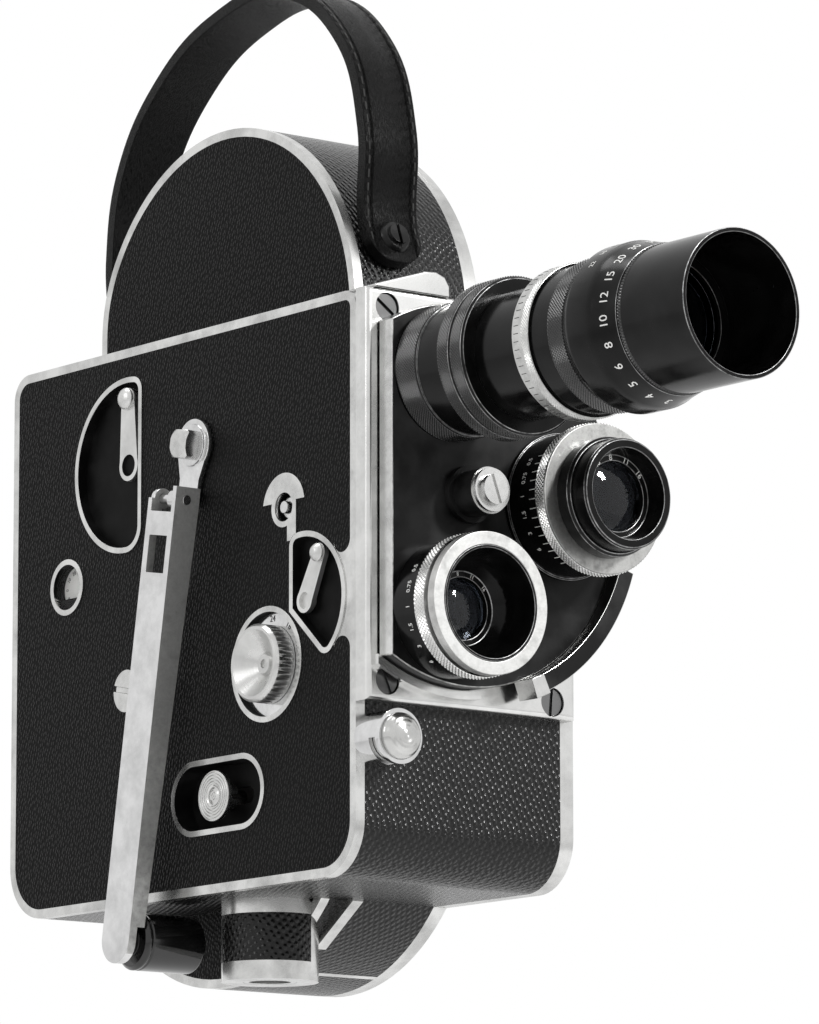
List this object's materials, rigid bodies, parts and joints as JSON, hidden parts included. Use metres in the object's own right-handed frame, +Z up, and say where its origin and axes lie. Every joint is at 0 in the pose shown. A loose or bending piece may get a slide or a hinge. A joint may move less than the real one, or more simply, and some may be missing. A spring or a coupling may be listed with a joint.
{
  "type": "movie camera",
  "caption": "Spring-wound 16 mm movie camera with a turning lens turret, folding winding crank, carrying strap and an opening film door over spools and film gate.",
  "frame": {"origin": "centre of the tripod thread's mouth, on the lowest face of the tripod boss", "axes": "+Z up, -Y the way the lenses look, -X the winding side, +X the film door side"},
  "size_m": [0.0779, 0.2499, 0.2391],
  "materials": {
    "cast": "satin",
    "bright": "polished",
    "nickel": "satin",
    "leatherette": "grained",
    "strap_leather": "worn",
    "black_metal": "satin",
    "bakelite": "gloss",
    "spool_metal": "satin",
    "steel": "brushed",
    "lens_glass": "coated",
    "dial": "satin"
  },
  "bodies": {
    "camera": {"body_shell": "cast", "side_cover": "bright", "side_leather": "leatherette", "wall_leather": "leatherette", "tripod_bush": "bright", "boss_leather": "leatherette", "film_shoes": "steel", "film_gate": "steel", "spring_barrel": "steel", "winding_hub": "bright", "crank_nut": "bright", "speed_ring": "nickel", "rewind_plate": "nickel", "counter_window": "lens_glass", "cover_screw": "nickel", "front_plate": "nickel", "front_screws": "nickel", "focus_housing": "nickel", "turret_stud": "bright", "release_barrel": "nickel", "strap": "strap_leather", "strap_screws": "black_metal"},
    "door": {"film_door": "nickel", "door_leather": "leatherette"},
    "upper_lock": {"upper_lock": "nickel"},
    "lower_lock": {"lower_lock": "nickel"},
    "feed_spool": {"feed_spool": "spool_metal", "feed_spindle": "steel"},
    "takeup_spool": {"takeup_spool": "spool_metal", "takeup_spindle": "steel"},
    "feed_sprocket": {"feed_sprocket": "steel"},
    "takeup_sprocket": {"takeup_sprocket": "steel"},
    "shutter": {"shutter": "black_metal"},
    "rewind_shaft": {"rewind_shaft": "nickel"},
    "counter_dial": {"counter_dial": "dial"},
    "pressure_plate": {"pressure_plate": "steel"},
    "claw": {"claw": "steel"},
    "crank": {"crank_arm": "bright", "crank_pin": "steel"},
    "grip": {"crank_grip": "bakelite"},
    "speed_knob": {"speed_knob": "nickel"},
    "side_release": {"side_release": "nickel"},
    "motor_lever": {"motor_lever": "nickel"},
    "exposure_lever": {"exposure_lever": "nickel"},
    "turret": {"turret": "black_metal", "turret_lever": "black_metal", "tele_barrel": "black_metal", "tele_hood": "black_metal", "tele_glass": "lens_glass", "normal_barrel": "black_metal", "normal_glass": "lens_glass", "wide_barrel": "black_metal", "wide_glass": "lens_glass"},
    "tele_focus": {"tele_focus_ring": "black_metal"},
    "tele_aperture": {"tele_aperture_ring": "black_metal"},
    "normal_focus": {"normal_focus_ring": "nickel"},
    "normal_aperture": {"normal_aperture_ring": "black_metal"},
    "wide_ring": {"wide_ring": "nickel"},
    "front_release": {"front_release": "nickel"}
  },
  "joints": [
    {"name": "door_pull", "type": "slide", "parent": "camera", "child": "door", "axis": [1, 0, 0], "range_m": [0, 0.045]},
    {"name": "upper_lock_turn", "type": "hinge", "parent": "door", "child": "upper_lock", "pos_m": [0.04, 0.025, 0.11795], "axis": [1, 0, 0], "range_deg": [0, 90]},
    {"name": "lower_lock_turn", "type": "hinge", "parent": "door", "child": "lower_lock", "pos_m": [0.04, 0.025, 0.08795], "axis": [1, 0, 0], "range_deg": [-90, 0]},
    {"name": "feed_spool_turn", "type": "hinge", "parent": "camera", "child": "feed_spool", "pos_m": [0.02, 0.0238, 0.1531], "axis": [1, 0, 0], "continuous": true},
    {"name": "takeup_spool_turn", "type": "hinge", "parent": "camera", "child": "takeup_spool", "pos_m": [0.02, 0.0238, 0.0528], "axis": [1, 0, 0], "continuous": true},
    {"name": "feed_sprocket_turn", "type": "hinge", "parent": "camera", "child": "feed_sprocket", "pos_m": [0.02, -0.038, 0.131], "axis": [1, 0, 0], "continuous": true},
    {"name": "takeup_sprocket_turn", "type": "hinge", "parent": "camera", "child": "takeup_sprocket", "pos_m": [0.02, -0.038, 0.077], "axis": [1, 0, 0], "continuous": true},
    {"name": "shutter_turn", "type": "hinge", "parent": "camera", "child": "shutter", "pos_m": [0.01, -0.062, 0.104], "axis": [0, 1, 0], "continuous": true},
    {"name": "rewind_turn", "type": "hinge", "parent": "camera", "child": "rewind_shaft", "pos_m": [-0.02, -0.0342, 0.1036], "axis": [1, 0, 0], "continuous": true},
    {"name": "counter_turn", "type": "hinge", "parent": "camera", "child": "counter_dial", "pos_m": [-0.018, 0.0516, 0.096], "axis": [1, 0, 0], "continuous": true},
    {"name": "pressure_plate_slide", "type": "slide", "parent": "camera", "child": "pressure_plate", "axis": [0, 1, 0], "range_m": [0, 0.004], "stiffness_N_per_m": 120},
    {"name": "claw_stroke", "type": "slide", "parent": "camera", "child": "claw", "axis": [0, 0, 1], "range_m": [-0.0074, 0]},
    {"name": "crank_fold", "type": "hinge", "parent": "camera", "child": "crank", "pos_m": [-0.027, 0.00142, 0.10969], "axis": [0, 0.9851, 0.1719], "range_deg": [0, 180]},
    {"name": "grip_turn", "type": "hinge", "parent": "crank", "child": "grip", "pos_m": [-0.016, 0.0189, 0.0095], "axis": [1, 0, 0], "continuous": true},
    {"name": "speed_dial", "type": "hinge", "parent": "camera", "child": "speed_knob", "pos_m": [-0.022, -0.0276, 0.0686], "axis": [1, 0, 0], "range_deg": [-135, 135]},
    {"name": "side_release_slide", "type": "slide", "parent": "camera", "child": "side_release", "axis": [0, 1, 0], "range_m": [-0.006, 0.006], "stiffness_N_per_m": 250},
    {"name": "motor_lever_turn", "type": "hinge", "parent": "camera", "child": "motor_lever", "pos_m": [-0.017, 0.0269, 0.1218], "axis": [1, 0, 0], "range_deg": [-160, 0]},
    {"name": "exposure_lever_turn", "type": "hinge", "parent": "camera", "child": "exposure_lever", "pos_m": [-0.017, -0.0416, 0.0814], "axis": [1, 0, 0], "range_deg": [0, 100]},
    {"name": "turret_turn", "type": "hinge", "parent": "camera", "child": "turret", "pos_m": [0.0026, -0.067, 0.104], "axis": [0, 1, 0], "range_deg": [-101.5, 101.5]},
    {"name": "tele_focus_turn", "type": "hinge", "parent": "turret", "child": "tele_focus", "pos_m": [-0.00284, -0.07, 0.13075], "axis": [0, 1, 0], "range_deg": [-240, 0]},
    {"name": "tele_aperture_turn", "type": "hinge", "parent": "turret", "child": "tele_aperture", "pos_m": [-0.00284, -0.07, 0.13075], "axis": [0, 1, 0], "range_deg": [-120, 0]},
    {"name": "normal_focus_turn", "type": "hinge", "parent": "turret", "child": "normal_focus", "pos_m": [0.0299, -0.07, 0.104], "axis": [0, 1, 0], "range_deg": [0, 200]},
    {"name": "normal_aperture_turn", "type": "hinge", "parent": "turret", "child": "normal_aperture", "pos_m": [0.0299, -0.07, 0.104], "axis": [0, 1, 0], "range_deg": [0, 150]},
    {"name": "wide_ring_turn", "type": "hinge", "parent": "turret", "child": "wide_ring", "pos_m": [-0.00284, -0.07, 0.07725], "axis": [0, 1, 0], "range_deg": [0, 120]},
    {"name": "front_release_press", "type": "slide", "parent": "camera", "child": "front_release", "axis": [0, 1, 0], "range_m": [0, 0.003], "stiffness_N_per_m": 600}
  ],
  "couplings": [
    {"joint": "feed_sprocket_turn", "follows": "shutter_turn", "ratio": 0.125},
    {"joint": "takeup_sprocket_turn", "follows": "shutter_turn", "ratio": 0.125},
    {"joint": "rewind_turn", "follows": "shutter_turn", "ratio": 0.125},
    {"joint": "counter_turn", "follows": "shutter_turn", "ratio": -0.0025}
  ]
}
